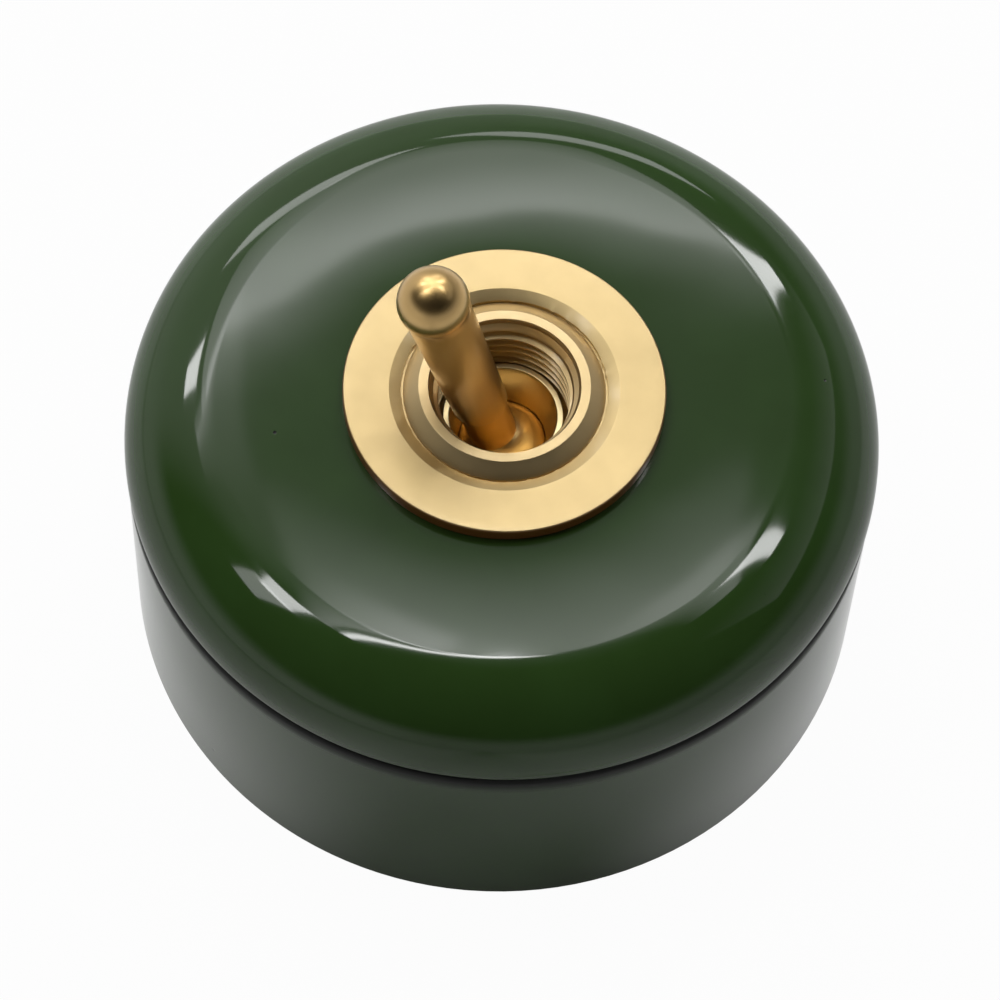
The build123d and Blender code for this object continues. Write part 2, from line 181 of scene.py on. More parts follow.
def split_long(points: list[Point], longest: float) -> list[Point]:
    """Add points on the long runs of an outline.

    Args:
        points: The outline.
        longest: Longest run that is left, in millimetres.

    Returns:
        The outline with no run longer than that.
    """
    fine = [points[0]]
    for (r0, z0), (r1, z1) in zip(points, points[1:]):
        count = max(1, math.ceil(math.hypot(r1 - r0, z1 - z0) / longest))
        for i in range(1, count + 1):
            fine.append((r0 + (r1 - r0) * i / count, z0 + (z1 - z0) * i / count))
    return fine


def ring_vertices(radius: float, height: float, count: int) -> list[Vector]:
    """Vertices of one level ring about the Z axis, in millimetres."""
    turns = [2 * math.pi * i / count for i in range(count)]
    return [Vector((radius * math.cos(t), radius * math.sin(t), height)) for t in turns]


@dataclass
class Shell:
    """A mesh in the making: vertices in millimetres, and faces."""

    vertices: list[Vector] = field(default_factory=list)
    faces: list[tuple[int, ...]] = field(default_factory=list)

    def turn(self, outline: list[Point], count: int, closed: bool = False) -> None:
        """Revolve an outline about the Z axis.

        Args:
            outline: Radius and height of each point, run so that the outside is on its right.
            count: Vertices in a full turn.
            closed: Whether the last point joins the first.
        """
        rows: list[list[int]] = []
        for radius, height in outline:
            start = len(self.vertices)
            if radius < 1e-6:
                self.vertices.append(Vector((0, 0, height)))
                rows.append([start] * count)
            else:
                self.vertices += ring_vertices(radius, height, count)
                rows.append(list(range(start, start + count)))
        pairs = list(zip(rows, rows[1:])) + ([(rows[-1], rows[0])] if closed else [])
        for low, high in pairs:
            for i in range(count):
                j = (i + 1) % count
                corners = dict.fromkeys((low[i], high[i], high[j], low[j]))
                if len(corners) > 2:
                    self.faces.append(tuple(corners))

    def thread(self, groove: "Thread", count: int, edge: Callable[[float, float], float]) -> None:
        """Wind a screw thread as rows that follow its helix.

        Args:
            groove: The thread's sizes.
            count: Vertices in a full turn.
            edge: Gives the radius at a height, from the thread's own radius there.
        """
        turns = math.ceil((groove.high - groove.low) / groove.pitch) + 2
        rows: list[list[int]] = []
        for turn in range(turns):
            for share, depth in groove.FORM:
                start = len(self.vertices)
                rows.append(list(range(start, start + count)))
                for i in range(count):
                    height = groove.low + groove.pitch * (turn - 1 + share + i / count)
                    radius = groove.root + (groove.crest - groove.root) * depth
                    if height < groove.low:
                        radius = groove.end_radius
                    level = min(max(height, groove.low), groove.high)
                    angle = 2 * math.pi * i / count
                    radius = edge(radius, level)
                    across = (radius * math.cos(angle), radius * math.sin(angle))
                    self.vertices.append(Vector((*across, level)))
        per_turn = len(groove.FORM)
        for k, (low, high) in enumerate(zip(rows, rows[1:])):
            for i in range(count):
                if i < count - 1:
                    corners = (low[i], high[i], high[i + 1], low[i + 1])
                elif k + 1 + per_turn < len(rows):
                    # The last vertex of a row joins the first one of the row a full turn on.
                    corners = (low[i], high[i], rows[k + 1 + per_turn][0], rows[k + per_turn][0])
                else:
                    continue
                self.faces.append(corners if groove.outward else corners[::-1])

    def move(self, place: Matrix) -> None:
        """Carry every vertex by a matrix."""
        self.vertices = [place @ v for v in self.vertices]

    def build(self, name: str, sharp: float = 28.0) -> bpy.types.Object:
        """Make the Blender object with its place in its mesh.

        Args:
            name: Name of the piece.
            sharp: Angle in degrees from which an edge is shaded as sharp.

        Returns:
            The object, linked to the scene.
        """
        mesh = bpy.data.meshes.new(name)
        mesh.from_pydata([v * MM for v in self.vertices], [], self.faces)
        work = bmesh.new()
        work.from_mesh(mesh)
        bmesh.ops.remove_doubles(work, verts=work.verts, dist=2e-7)
        bmesh.ops.dissolve_degenerate(work, edges=work.edges, dist=1e-7)
        bmesh.ops.recalc_face_normals(work, faces=work.faces)
        work.to_mesh(mesh)
        work.free()
        mesh.shade_smooth()
        mesh.set_sharp_from_angle(angle=math.radians(sharp))
        piece = bpy.data.objects.new(name, mesh)
        bpy.context.scene.collection.objects.link(piece)
        return piece


@dataclass(frozen=True)
class Thread:
    """A 60 degree screw thread between two heights, with flattened crests and roots.

    FORM gives the share of the pitch and the share of the depth of each point of one turn. The
    surface below the lowest turn has the end radius.
    """

    pitch: float
    root: float
    crest: float
    low: float
    high: float
    end_radius: float
    outward: bool
    FORM = ((0.0, 0.0), (0.16, 0.0), (0.46, 1.0), (0.60, 1.0), (0.90, 0.0))


class BrassTone(Enum):
    """Colours of the brasses, from pale to deep."""

    PALE = "#D2B985"
    LIGHT = "#E4CA96"
    YELLOW = "#E6D2A0"
    DEEP = "#EAC380"


def object_millimetres(tree: bpy.types.NodeTree) -> bpy.types.NodeSocket:
    """Add the place on the piece in millimetres, so that patterns take real sizes.

    Args:
        tree: The node tree that gets the nodes.

    Returns:
        The socket that carries the place.
    """
    place = add_node(tree, "TexCoord")
    scale = {"operation": "SCALE", "Scale": 1 / MM}
    scaled = add_node(tree, "VectorMath", scale, {0: place.outputs["Object"]})
    return scaled.outputs["Vector"]


def start_material(name: str) -> tuple[bpy.types.Material, bpy.types.NodeTree, bpy.types.Node]:
    """Make a material with a Principled surface.

    Args:
        name: Name of the material.

    Returns:
        The material, its node tree and its Principled node.
    """
    material = bpy.data.materials.new(name)
    material.use_nodes = True
    return material, material.node_tree, material.node_tree.nodes["Principled BSDF"]


@dataclass(frozen=True)
class GreenGlaze:
    """Dark green glazed stoneware: dipped, fired glossy and very slightly uneven.

    The eye gets deep mirror reflections over a dark body colour, a soft waver in them from the
    uneven glaze, and a few pinholes whose pits are painted near black as painted shade. Where it
    stood in the kiln the foot is bare clay. Under the cover's overhang a painted shadow makes the
    glaze nearly black and matt, sharp at the joint above and fading down the base.
    Lengths and heights are in millimetres.
    """

    name: str = "glazed_stoneware_green"
    colour: str = "#334D22"
    thin_colour: str = "#3A582A"
    clay: str = "#CFC4AE"
    ior: float = 1.52
    roughness: float = 0.06
    matt_roughness: float = 0.7
    cloud_length: float = 9.0
    thin_share: float = 0.55
    waver_length: float = 14.0
    waver_height: float = 0.036
    pinhole_spacing: float = 6.5
    pinhole_radius: float = 0.2
    pinhole_depth: float = 0.08
    # Colour painted into each pinhole as the shade in its pit.
    pinhole_painted_shade: str = "#080C05"
    foot_height: float = 0.35
    foot_ragged: float = 0.25
    foot_edge: float = 0.06
    joint_top: float = 24.45
    joint_edge: float = 0.12
    joint_full: float = 23.4
    joint_end: float = 21.2
    # Colour of the painted shadow under the cover's overhang.
    joint_painted_shade: str = "#0A0D08"

    def material(self) -> bpy.types.Material:
        """Build the glaze material.

        Returns:
            The material.
        """
        material, tree, surface = start_material(self.name)
        place = object_millimetres(tree)
        cloud = add_node(
            tree, "TexNoise", {"Scale": 1 / self.cloud_length, "Detail": 3.0}, {"Vector": place}
        )
        spread = add_node(
            tree, "MapRange", span(0.45, 0.8, 0.0, self.thin_share), {"Value": cloud.outputs["Fac"]}
        )
        tint = add_node(
            tree,
            "Mix",
            {"data_type": "RGBA", 6: srgb(self.colour), 7: srgb(self.thin_colour)},
            {0: spread.outputs["Result"]},
        )
        holes = add_node(
            tree,
            "TexVoronoi",
            {"Scale": 1 / self.pinhole_spacing, "Randomness": 1.0},
            {"Vector": place},
        )
        rim = self.pinhole_radius / self.pinhole_spacing
        pit = add_node(
            tree,
            "MapRange",
            SMOOTH | span(rim * 0.5, rim, 1.0, 0.0),
            {"Value": holes.outputs["Distance"]},
        )
        # Painted shade: each pinhole's pit is coloured near black.
        with_painted_pits = add_node(
            tree,
            "Mix",
            {"data_type": "RGBA", 7: srgb(self.pinhole_painted_shade)},
            {0: pit.outputs["Result"], 6: tint.outputs[2]},
        )
        height = add_node(tree, "SeparateXYZ", {}, {0: place})
        ragged = add_node(
            tree,
            "Math",
            {"operation": "MULTIPLY_ADD", 1: self.foot_ragged},
            {0: cloud.outputs["Fac"], 2: height.outputs["Z"]},
        )
        bare = add_node(
            tree,
            "MapRange",
            span(self.foot_height, self.foot_height + self.foot_edge, 1.0, 0.0),
            {"Value": ragged.outputs["Value"]},
        )
        body = add_node(
            tree,
            "Mix",
            {"data_type": "RGBA", 7: srgb(self.clay)},
            {0: bare.outputs["Result"], 6: with_painted_pits.outputs[2]},
        )
        # Painted shade: the shadow under the cover's overhang, a dark matt band that ends sharply
        # at the joint and fades down the base.
        below = add_node(
            tree,
            "MapRange",
            span(self.joint_top, self.joint_top + self.joint_edge, 1.0, 0.0),
            {"Value": height.outputs["Z"]},
        )
        joint = add_node(
            tree,
            "MapRange",
            SMOOTH | span(self.joint_end, self.joint_full),
            {"Value": height.outputs["Z"], "To Max": below.outputs["Result"]},
        )
        with_painted_shade = add_node(
            tree,
            "Mix",
            {"data_type": "RGBA", 7: srgb(self.joint_painted_shade)},
            {0: joint.outputs["Result"], 6: body.outputs[2]},
        )
        dull = add_node(
            tree,
            "Math",
            {"operation": "MAXIMUM"},
            {0: bare.outputs["Result"], 1: joint.outputs["Result"]},
        )
        matt = add_node(
            tree,
            "MapRange",
            span(0.0, 1.0, self.roughness, self.matt_roughness),
            {"Value": dull.outputs["Value"]},
        )
        waver = add_node(
            tree, "TexNoise", {"Scale": 1 / self.waver_length, "Detail": 1.0}, {"Vector": place}
        )
        slow = add_node(
            tree,
            "Bump",
            {"Strength": 1.0, "Distance": self.waver_height * MM},
            {"Height": waver.outputs["Fac"]},
        )
        pits = add_node(
            tree,
            "Bump",
            {"Strength": 0.7, "Distance": self.pinhole_depth * MM, "invert": True},
            {"Height": pit.outputs["Result"], "Normal": slow.outputs["Normal"]},
        )
        surface.inputs["IOR"].default_value = self.ior
        tree.links.new(with_painted_shade.outputs[2], surface.inputs["Base Color"])
        tree.links.new(matt.outputs["Result"], surface.inputs["Roughness"])
        tree.links.new(pits.outputs["Normal"], surface.inputs["Normal"])
        return material


@dataclass(frozen=True)
class TurnedBrass:
    """Brass turned on a lathe and left lacquered.

    The tool leaves fine concentric lines, so the sheen is satin and drawn out across them. The
    lines are 0.05 mm apart on the real one and drawn about 0.3 mm apart to show at all. A clear
    lacquer adds a whiter glint, and beyond a given radius the rim is browner and less metallic.
    Faint smears change colour and roughness a little. Lengths are in millimetres.
    """

    name: str
    tone: BrassTone
    roughness: float
    grooves: float
    line_spacing: float = 0.3
    axis: tuple[float, float, float] | None = None
    anisotropy: float = 0.0
    lacquer: float = 0.0
    lacquer_roughness: float = 0.15
    smear_length: float = 2.0
    smear_shade: float = 0.93
    smear_roughness: float = 0.05
    brown_rim_from: float | None = None
    rim_brown_colour: str = "#8A5628"
    brown_rim_edge: float = 0.12
    brown_rim_metallic: float = 0.2

    def material(self) -> bpy.types.Material:
        """Build the brass with lines about Z, or across the given axis.

        Returns:
            The material.
        """
        material, tree, surface = start_material(self.name)
        place = object_millimetres(tree)
        if self.axis is None:
            flatten = {"operation": "MULTIPLY", 1: (1, 1, 0)}
            flat = add_node(tree, "VectorMath", flatten, {0: place}).outputs["Vector"]
            along = add_node(tree, "VectorMath", {"operation": "LENGTH"}, {0: flat})
        else:
            project = {"operation": "DOT_PRODUCT", 1: self.axis}
            along = add_node(tree, "VectorMath", project, {0: place})
        tool_marks = {"noise_dimensions": "1D", "Detail": 3.0, "Roughness": 0.7}
        lines = add_node(
            tree,
            "TexNoise",
            tool_marks | {"Scale": 1 / self.line_spacing},
            {"W": along.outputs["Value"]},
        )
        smear = add_node(
            tree, "TexNoise", {"Scale": 1 / self.smear_length, "Detail": 2.0}, {"Vector": place}
        )
        tone = self.tone.value
        colour = add_node(
            tree,
            "Mix",
            {"data_type": "RGBA", 6: srgb(tone), 7: shaded(tone, self.smear_shade)},
            {0: smear.outputs["Fac"]},
        )
        uneven = self.roughness * self.smear_roughness
        rough = add_node(
            tree,
            "MapRange",
            span(0.3, 0.7, self.roughness - uneven, self.roughness + uneven),
            {"Value": smear.outputs["Fac"]},
        )
        relief = add_node(
            tree,
            "Bump",
            {"Strength": 1.0, "Distance": self.grooves * MM},
            {"Height": lines.outputs["Fac"]},
        )
        surface.inputs["Metallic"].default_value = 1.0
        tree.links.new(colour.outputs[2], surface.inputs["Base Color"])
        # Beyond the given radius the rim gets a browner colour and less metal.
        if self.brown_rim_from is not None:
            rim = add_node(
                tree,
                "MapRange",
                span(self.brown_rim_from, self.brown_rim_from + self.brown_rim_edge),
                {"Value": along.outputs["Value"]},
            )
            browned_rim = add_node(
                tree,
                "Mix",
                {"data_type": "RGBA", 7: srgb(self.rim_brown_colour)},
                {0: rim.outputs["Result"], 6: colour.outputs[2]},
            )
            metal = add_node(
                tree,
                "MapRange",
                span(0.0, 1.0, 1.0, self.brown_rim_metallic),
                {"Value": rim.outputs["Result"]},
            )
            tree.links.new(browned_rim.outputs[2], surface.inputs["Base Color"])
            tree.links.new(metal.outputs["Result"], surface.inputs["Metallic"])
        surface.inputs["Coat Weight"].default_value = self.lacquer
        surface.inputs["Coat Roughness"].default_value = self.lacquer_roughness
        surface.inputs["Anisotropic"].default_value = self.anisotropy
        if self.anisotropy > 0:
            drawn = add_node(tree, "Tangent", {"direction_type": "RADIAL", "axis": "Z"})
            tree.links.new(drawn.outputs["Tangent"], surface.inputs["Tangent"])
        tree.links.new(rough.outputs["Result"], surface.inputs["Roughness"])
        tree.links.new(relief.outputs["Normal"], surface.inputs["Normal"])
        return material


@dataclass(frozen=True)
class RolledMetal:
    """Rolled or drawn metal stock, plain or plated: soft cloudy sheen with faint rolling lines.

    The lines run along Y and Z. Their spacing and relief are in millimetres.
    """

    name: str
    colour: str
    roughness: float
    uneven: float = 0.2
    shade: float = 0.82
    line_scale: tuple[float, float, float] = (4.0, 0.4, 0.4)
    relief: float = 0.002

    def material(self) -> bpy.types.Material:
        """Build the sheet metal.

        Returns:
            The material.
        """
        material, tree, surface = start_material(self.name)
        place = object_millimetres(tree)
        stretch = {"operation": "MULTIPLY", 1: self.line_scale}
        drawn = add_node(tree, "VectorMath", stretch, {0: place}).outputs["Vector"]
        streaks = add_node(tree, "TexNoise", {"Scale": 1.2, "Detail": 3.0}, {"Vector": drawn})
        uneven = self.roughness * self.uneven
        rough = add_node(
            tree,
            "MapRange",
            span(0.3, 0.7, self.roughness - uneven, self.roughness + uneven),
            {"Value": streaks.outputs["Fac"]},
        )
        colour = add_node(
            tree,
            "Mix",
            {"data_type": "RGBA", 6: srgb(self.colour), 7: shaded(self.colour, self.shade)},
            {0: streaks.outputs["Fac"]},
        )
        relief = add_node(
            tree,
            "Bump",
            {"Strength": 1.0, "Distance": self.relief * MM},
            {"Height": streaks.outputs["Fac"]},
        )
        surface.inputs["Metallic"].default_value = 1.0
        tree.links.new(colour.outputs[2], surface.inputs["Base Color"])
        tree.links.new(rough.outputs["Result"], surface.inputs["Roughness"])
        tree.links.new(relief.outputs["Normal"], surface.inputs["Normal"])
        return material


@dataclass(frozen=True)
class MouldedPlastic:
    """Pressed or moulded plastic: even colour with a faint mottle and a low soft sheen.

    The length and relief of the mottle are in millimetres.
    """

    name: str
    colour: str
    fleck: str
    roughness: float
    ior: float
    mottle_length: float = 0.625
    relief: float = 0.004

    def material(self) -> bpy.types.Material:
        """Build the plastic.

        Returns:
            The material.
        """
        material, tree, surface = start_material(self.name)
        place = object_millimetres(tree)
        mottle = add_node(
            tree, "TexNoise", {"Scale": 1 / self.mottle_length, "Detail": 4.0}, {"Vector": place}
        )
        colour = add_node(
            tree,
            "Mix",
            {"data_type": "RGBA", 6: srgb(self.colour), 7: srgb(self.fleck)},
            {0: mottle.outputs["Fac"]},
        )
        relief = add_node(
            tree,
            "Bump",
            {"Strength": 1.0, "Distance": self.relief * MM},
            {"Height": mottle.outputs["Fac"]},
        )
        surface.inputs["Roughness"].default_value = self.roughness
        surface.inputs["IOR"].default_value = self.ior
        tree.links.new(colour.outputs[2], surface.inputs["Base Color"])
        tree.links.new(relief.outputs["Normal"], surface.inputs["Normal"])
        return material


def dress(piece: bpy.types.Object, material: bpy.types.Material) -> None:
    """Give a piece one material."""
    piece.data.materials.clear()
    piece.data.materials.append(material)


@dataclass
class CeramicCasing:
    """Glazed base and cover.

    The cover's outline turns from its flat crown through the crown arc and the shoulder arc into
    the upright wall; turn is the slope in degrees at which the two arcs meet.
    """

    cover_radius: float = 32.5
    base_height: float = 24.3
    cover_top: float = 31.8
    cover_underside: float = 27.6
    crown_arc: float = 8.8
    shoulder_arc: float = 6.0
    turn: float = 45.0
    edge_round: float = 0.6
    skirt_round: float = 0.3
    hollow_round: float = 2.0
    hole_round: float = 0.5
    skirt_bore: float = 29.5
    cover_hole: float = 7.5
    count: int = 384

    def next_arc(self, start: Point, radius: float, first: float, last: float) -> list[Point]:
        """Arc that goes on from a point of the outline.

        Args:
            start: Where the arc starts.
            radius: Its radius.
            first: Slope of the surface at its start, in degrees below level.
            last: Slope at its end.

        Returns:
            The arc's points.
        """
        lean = math.radians(first)
        centre = (start[0] - radius * math.sin(lean), start[1] - radius * math.cos(lean))
        return arc(centre, radius, 90 - first, 90 - last, 1.5)

    def cover_outline(self) -> list[Point]:
        """Outline of the cover, from the hole's rim outwards and back inside.

        Returns:
            The closed outline's points.
        """
        lean = math.radians(self.turn)
        width = self.crown_arc * math.sin(lean) + self.shoulder_arc * (1 - math.cos(lean))
        crown_start = (self.cover_radius - width, self.cover_top)
        crown = self.next_arc(crown_start, self.crown_arc, 0, self.turn)
        shoulder = self.next_arc(crown[-1], self.shoulder_arc, self.turn, 90)
        inside = rounded(
            [
                (self.cover_radius, shoulder[-1][1], 0),
                (self.cover_radius, self.base_height, self.edge_round),
                (self.skirt_bore, self.base_height, self.skirt_round),
                (self.skirt_bore, self.cover_underside, self.hollow_round),
                (self.cover_hole, self.cover_underside, self.hole_round),
                (self.cover_hole, self.cover_top, self.hole_round),
                (*crown_start, 0),
            ]
        )
        return split_long(crown + shoulder[1:] + inside[1:-1], 1.0)

    def build_cover(self) -> bpy.types.Object:
        """Make the cover.

        Returns:
            The object.
        """
        shell = Shell()
        shell.turn(self.cover_outline(), self.count, closed=True)
        return shell.build("glazed_cover")

    def build(self, glaze: bpy.types.Material) -> None:
        """Build and dress the casing.

        Args:
            glaze: The glaze of both pieces.
        """
        cover = self.build_cover()
        dress(cover, glaze)
        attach(cover, "housing")
        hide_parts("cover")
        dress(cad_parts["base"], glaze)
        log.info("casing: cover %d faces, base from the frame", len(cover.data.polygons))


@dataclass
class BrassTrim:
    """Trim plate on the cover and the threaded ring nut that clamps it."""

    seat: float = 31.8
    plate_radius: float = 13.72
    plate_thickness: float = 1.3
    hole: float = 7.4
    dish_radius: float = 9.8
    dish_depth: float = 0.37
    counterbore: float = 8.8
    web: float = 0.6
    flange_radius: float = 8.6
    flange_edge: float = 0.2
    top_radius: float = 7.3
    top_rise: float = 0.5
    mouth_radius: float = 6.5
    mouth_slope: float = 0.5
    sleeve_radius: float = 7.1
    sleeve_bottom: float = 25.3
    burrs: int = 34
    burr_sizes: Point = (0.03, 0.10)
    burr_width: float = 0.02
    burr_reach: Point = (0.03, 0.08)
    count: int = 360

    def build_plate(self) -> bpy.types.Object:
        """Make the plate, with small burrs on the counterbore's rim.

        Returns:
            The object.
        """
        top = self.seat + self.plate_thickness
        # Radius, height and rounding of each corner.
        outline = rounded(
            [
                (self.hole, self.seat, 0),
                (self.plate_radius, self.seat, 0.1),
                (self.plate_radius, top, 0.15),
                (self.dish_radius, top, 0.12),
                (self.counterbore, top - self.dish_depth, 0.04),
                (self.counterbore, self.seat + self.web, 0),
                (self.hole, self.seat + self.web, 0),
            ]
        )
        shell = Shell()
        shell.turn(split_long(outline, 0.8), self.count, closed=True)
        rng = random.Random(7)
        burrs = [
            (rng.uniform(0, 2 * math.pi), rng.uniform(*self.burr_sizes)) for _ in range(self.burrs)
        ]
        rim = top - self.dish_depth
        across, up = self.burr_reach
        for vertex in shell.vertices:
            radius = math.hypot(vertex.x, vertex.y)
            if abs(radius - self.counterbore) < across and abs(vertex.z - rim) < up:
                angle = math.atan2(vertex.y, vertex.x)
                pull = 0.0
                for spot, size in burrs:
                    apart = abs((angle - spot + math.pi) % (2 * math.pi) - math.pi)
                    pull = max(pull, size * math.exp(-((apart / self.burr_width) ** 2)))
                vertex.xy *= (radius - pull) / radius
        return shell.build("trim_plate_turned")

    def build_nut(self) -> bpy.types.Object:
        """Make the ring nut with its real internal thread.

        Returns:
            The object.
        """
        seat = self.seat + self.web
        top = self.seat + self.plate_thickness + self.top_rise
        groove = Thread(
            pitch=1.0,
            root=5.6,
            crest=6.4,
            low=self.sleeve_bottom,
            high=top,
            end_radius=6.4,
            outward=False,
        )
        # Radius, height and rounding of each corner.
        outline = rounded(
            [
                (groove.end_radius, self.sleeve_bottom, 0),
                (self.sleeve_radius, self.sleeve_bottom, 0.3),
                (self.sleeve_radius, seat, 0),
                (self.flange_radius, seat, 0),
                (self.flange_radius, seat + self.flange_edge, 0.08),
                (self.top_radius, top, 0.12),
                (self.mouth_radius, top, 0),
            ]
        )
        shell = Shell()
        shell.turn(split_long(outline, 0.8), self.count)

        def chamfered(radius: float, height: float) -> float:
            """Radius of the thread cut back by the mouth's chamfer."""
            return max(radius, self.mouth_radius - (top - height) * self.mouth_slope)

        shell.thread(groove, self.count, chamfered)
        return shell.build("ring_nut_threaded")

    def build(self, plate_brass: bpy.types.Material, nut_brass: bpy.types.Material) -> None:
        """Build and dress plate and nut.

        Args:
            plate_brass: Finish of the plate.
            nut_brass: Finish of the nut.
        """
        for piece, node, slot, brass in (
            (self.build_plate(), "trim_plate", "trim_brass", plate_brass),
            (self.build_nut(), "ring_nut", "nut_brass", nut_brass),
        ):
            dress(piece, brass)
            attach(piece, "housing")
            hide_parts(node)
            log.info("trim: %s %d faces", piece.name, len(piece.data.polygons))


@dataclass
class ThreadedBushing:
    """Switch bushing: outer thread, thin rim, flared mouth and round socket."""

    low: float = 18.3
    top: float = 28.3
    case_top: float = 17.3
    rim_radius: float = 5.1
    mouth_radius: float = 4.65
    socket_radius: float = 4.16
    lip_radius: float = 3.75
    neck_radius: float = 5.0
    stake_radius: float = 5.6
    stake_height: float = 0.4
    pivot: float = 22.4
    count: int = 240

    def build(self, brass: bpy.types.Material) -> None:
        """Build and dress the bushing.

        Args:
            brass: Its finish.
        """
        lip_angle = math.degrees(math.acos(self.lip_radius / self.socket_radius))
        stake = self.case_top - self.stake_height
        groove = Thread(
            pitch=1.0,
            root=5.38,
            crest=5.92,
            low=self.low,
            high=self.top,
            end_radius=5.38,
            outward=True,
        )
        inside = arc((0, self.pivot), self.socket_radius, 0, lip_angle, 3)
        mouth = rounded(
            [
                (*inside[-1], 0),
                (self.mouth_radius, self.top, 0.08),
                (self.rim_radius, self.top, 0),
            ]
        )
        lower = [
            (groove.end_radius, self.low),
            (self.neck_radius, self.low),
            (self.neck_radius, self.case_top),
            (self.stake_radius, self.case_top),
            (self.stake_radius, stake),
            (self.socket_radius, stake),
        ]
        shell = Shell()
        shell.turn(lower + inside + split_long(mouth, 0.5)[1:], self.count)

        def chamfered(radius: float, height: float) -> float:
            """Radius of the thread cut back by the chamfer at the rim."""
            return min(radius, self.rim_radius + (self.top - height))

        shell.thread(groove, self.count, chamfered)
        piece = shell.build("bushing_threaded")
        dress(piece, brass)
        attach(piece, "housing")
        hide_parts("bushing")
        log.info("bushing: %d faces", len(piece.data.polygons))


@dataclass
class ToggleLever:
    """Turned lever with its ball tip, tapered bat, neck, pivot ball and bored lower arm."""

    pivot: float = 22.4
    lean: float = 14.2
    tip_centre: float = 25.3
    tip_radius: float = 3.05
    bat_radius: float = 2.8
    neck_radius: float = 2.42
    neck_height: float = 8.4
    foot_radius: float = 2.1
    foot_step: float = 0.3
    ball_radius: float = 4.1
    arm_radius: float = 2.2
    arm_length: float = 7.0
    bore_radius: float = 1.5
    bore_end: float = 1.5
    count: int = 160

    def axis(self) -> tuple[float, float, float]:
        """Direction of the lever from its pivot to its tip.

        Returns:
            A unit vector.
        """
        lean = math.radians(self.lean)
        return -math.sin(lean), 0.0, math.cos(lean)

    def outline(self) -> list[Point]:
        """Outline of the lever along its own axis, from the tip down and into the bore.

        Returns:
            The open outline's points.
        """
        drop = math.degrees(math.acos(self.bat_radius / self.tip_radius))
        tip = arc((0, self.tip_centre), self.tip_radius, 90, -drop, 2.5)
        start = math.degrees(math.acos(self.foot_radius / self.ball_radius))
        end = math.degrees(math.acos(self.arm_radius / self.ball_radius))
        ball = arc((0, 0), self.ball_radius, start, -end, 3)
        bat = rounded(
            [
                (*tip[-1], 0),
                (self.neck_radius, self.neck_height, 0.2),
                (self.foot_radius, self.neck_height - self.foot_step, 0.3),
                (*ball[0], 0),
            ]
        )
        arm = [
            (self.arm_radius, -self.arm_length),
            (self.bore_radius, -self.arm_length),
            (self.bore_radius, -self.bore_end),
            (0.0, -self.bore_end),
        ]
        return tip + split_long(bat, 0.8)[1:] + ball[1:] + arm

    def build(self, brass: bpy.types.Material) -> None:
        """Build and dress the lever.

        Args:
            brass: Its finish.
        """
        shell = Shell()
        shell.turn(self.outline(), self.count)
        lean = Matrix.Rotation(math.radians(-self.lean), 4, "Y")
        shell.move(Matrix.Translation((0, 0, self.pivot)) @ lean)
        piece = shell.build("toggle_lever_turned")
        dress(piece, brass)
        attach(piece, "lever")
        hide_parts("toggle_lever")
        log.info("lever: %d faces", len(piece.data.polygons))


@dataclass
class SwitchMechanism:
    """The pieces inside the casing, which keep their forms and get their finishes."""

    steel: tuple[str, ...] = ("bracket", "lock_washer", "switch_frame")
    screws: tuple[str, ...] = (
        "bracket_screw_upper",
        "bracket_screw_lower",
        "terminal_screw_left",
        "terminal_screw_right",
        "terminal_screw_centre",
        "lever_pin",
        "plunger_spring",
    )
    turned: tuple[str, ...] = ("hex_nut", "insert_upper", "insert_lower")
    strip: tuple[str, ...] = ("left_terminal", "right_terminal", "centre_terminal", "rocker")
    silver: tuple[str, ...] = (
        "moving_contact_left",
        "moving_contact_right",
        "fixed_contact_left",
        "fixed_contact_right",
    )

    def dress_all(self, brass: bpy.types.Material) -> None:
        """Give each hidden piece its finish.

        Args:
            brass: Finish of the turned brass pieces.
        """
        zinc = RolledMetal("zinc_plated_steel_sheet", "#C3C4C0", roughness=0.34)
        nickel = RolledMetal("nickel_plated_steel_drawn", "#CFCBC2", roughness=0.22)
        strip = RolledMetal("rolled_brass_strip", "#D9B871", roughness=0.28)
        silver = RolledMetal("silver_contact_pressed", "#E6E4DC", roughness=0.2)
        phenolic = MouldedPlastic(
            "phenolic_moulded_brown", "#3A2217", "#1F120C", roughness=0.35, ior=1.6
        )
        nylon = MouldedPlastic(
            "nylon_moulded_natural", "#E4DFCF", "#D3CDB9", roughness=0.45, ior=1.53
        )
        finishes = (
            (self.steel, zinc.material()),
            (self.screws, nickel.material()),
            (self.turned, brass),
            (self.strip, strip.material()),
            (self.silver, silver.material()),
            (("switch_case",), phenolic.material()),
            (("plunger",), nylon.material()),
        )
        for nodes, material in finishes:
            for node in nodes:
                dress(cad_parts[node], material)
            log.info("mechanism: %s on %s", material.name, ", ".join(nodes))


class Fade(Enum):
    """Brightness of a lamp's far edge, as a share of its near edge."""

    EVEN = 1.0
    SOFT = 0.35
    STRONG = 0.0


